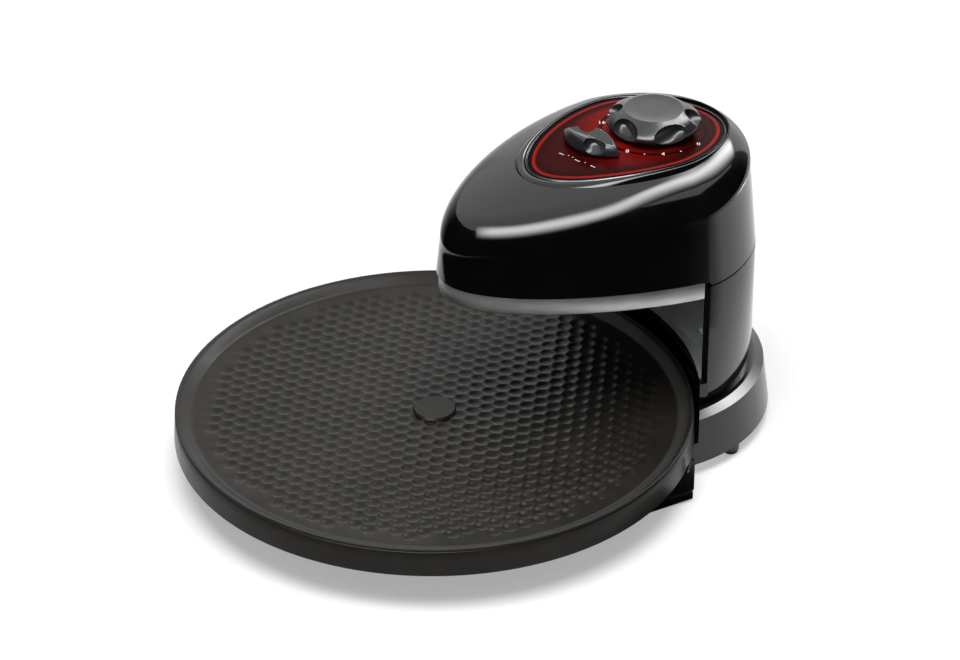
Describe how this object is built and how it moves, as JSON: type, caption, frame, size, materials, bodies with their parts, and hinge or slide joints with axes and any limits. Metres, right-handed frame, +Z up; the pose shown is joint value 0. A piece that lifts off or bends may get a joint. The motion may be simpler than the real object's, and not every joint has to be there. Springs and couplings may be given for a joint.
{
  "type": "rotating pizza oven",
  "caption": "Countertop cooker with an open turning tray on a low base, under a fixed cantilevered heating head with a timer dial and a heat selector on top.",
  "frame": {"origin": "on the supporting surface, under the centre of the bounding box", "axes": "+Z up; -Y is the front, where the tray stands clear of the head; +X is to the right"},
  "size_m": [0.332, 0.4018, 0.2124],
  "materials": {
    "shell_gloss": "high-gloss black moulded shell",
    "black_matt": "matt black moulding",
    "rubber": "soft black foot",
    "nonstick": "satin dark brown-grey non-stick coating",
    "bright_steel": "galvanised sheet",
    "liner_steel": "greenish grey reflective sheet",
    "band_metal": "satin brushed band",
    "rod_sheath": "heat-darkened steel sheath",
    "machined": "machined steel",
    "bushing_bronze": "sintered bronze",
    "panel_red": "dark red glossy panel with printed marks",
    "ring_chrome": "polished ring",
    "knob_grey": "gunmetal grey glossy knob",
    "ceramic": "off-white ceramic",
    "fibre": "off-white insulating fibre",
    "wire_sleeve": "woven glass sleeving"
  },
  "bodies": {
    "base": {"base_shell": "shell_gloss", "base_bottom": "bright_steel", "rubber_feet": "rubber", "lower_reflector": "bright_steel", "lower_element": "rod_sheath", "lower_element_clips": "bright_steel", "drive_motor": "machined", "spindle_bushing": "bushing_bronze", "tower_shell": "shell_gloss", "throat_liner": "liner_steel", "wire_harness": "wire_sleeve", "cord_gland": "black_matt", "terminal_block": "ceramic", "head_shell": "shell_gloss", "head_floor": "black_matt", "panel_frame": "shell_gloss", "heat_shroud": "band_metal", "upper_reflector": "bright_steel", "upper_element": "rod_sheath", "upper_element_clips": "bright_steel", "element_guard": "bright_steel", "insulation_pad": "fibre", "thermal_fuse": "machined", "panel_insert": "panel_red", "panel_bezel": "ring_chrome", "control_bracket": "bright_steel", "timer_body": "machined", "timer_bell": "bushing_bronze", "selector_switch": "black_matt", "housing_screws": "machined", "small_screws": "machined"},
    "turntable": {"motor_shaft": "machined", "drive_spindle": "machined"},
    "tray": {"tray_pan": "nonstick", "hub_cap": "nonstick", "drive_socket": "machined"},
    "timer": {"timer_shaft": "machined", "timer_knob": "knob_grey"},
    "selector": {"selector_shaft": "machined", "selector_knob": "knob_grey"}
  },
  "joints": [
    {"name": "tray_turn", "type": "hinge", "parent": "base", "child": "turntable", "pos_m": [0, -0.0349, 0.03], "axis": [0, 0, 1], "continuous": true},
    {"name": "tray_lift", "type": "slide", "parent": "turntable", "child": "tray", "axis": [0, 0, 1], "range_m": [0, 0.025]},
    {"name": "timer_turn", "type": "hinge", "parent": "base", "child": "timer", "pos_m": [0, 0.1251, 0.19], "axis": [0, 0, 1], "range_deg": [-300, 0]},
    {"name": "selector_turn", "type": "hinge", "parent": "base", "child": "selector", "pos_m": [0, 0.0791, 0.19], "axis": [0, 0, 1], "range_deg": [-30, 30]}
  ]
}
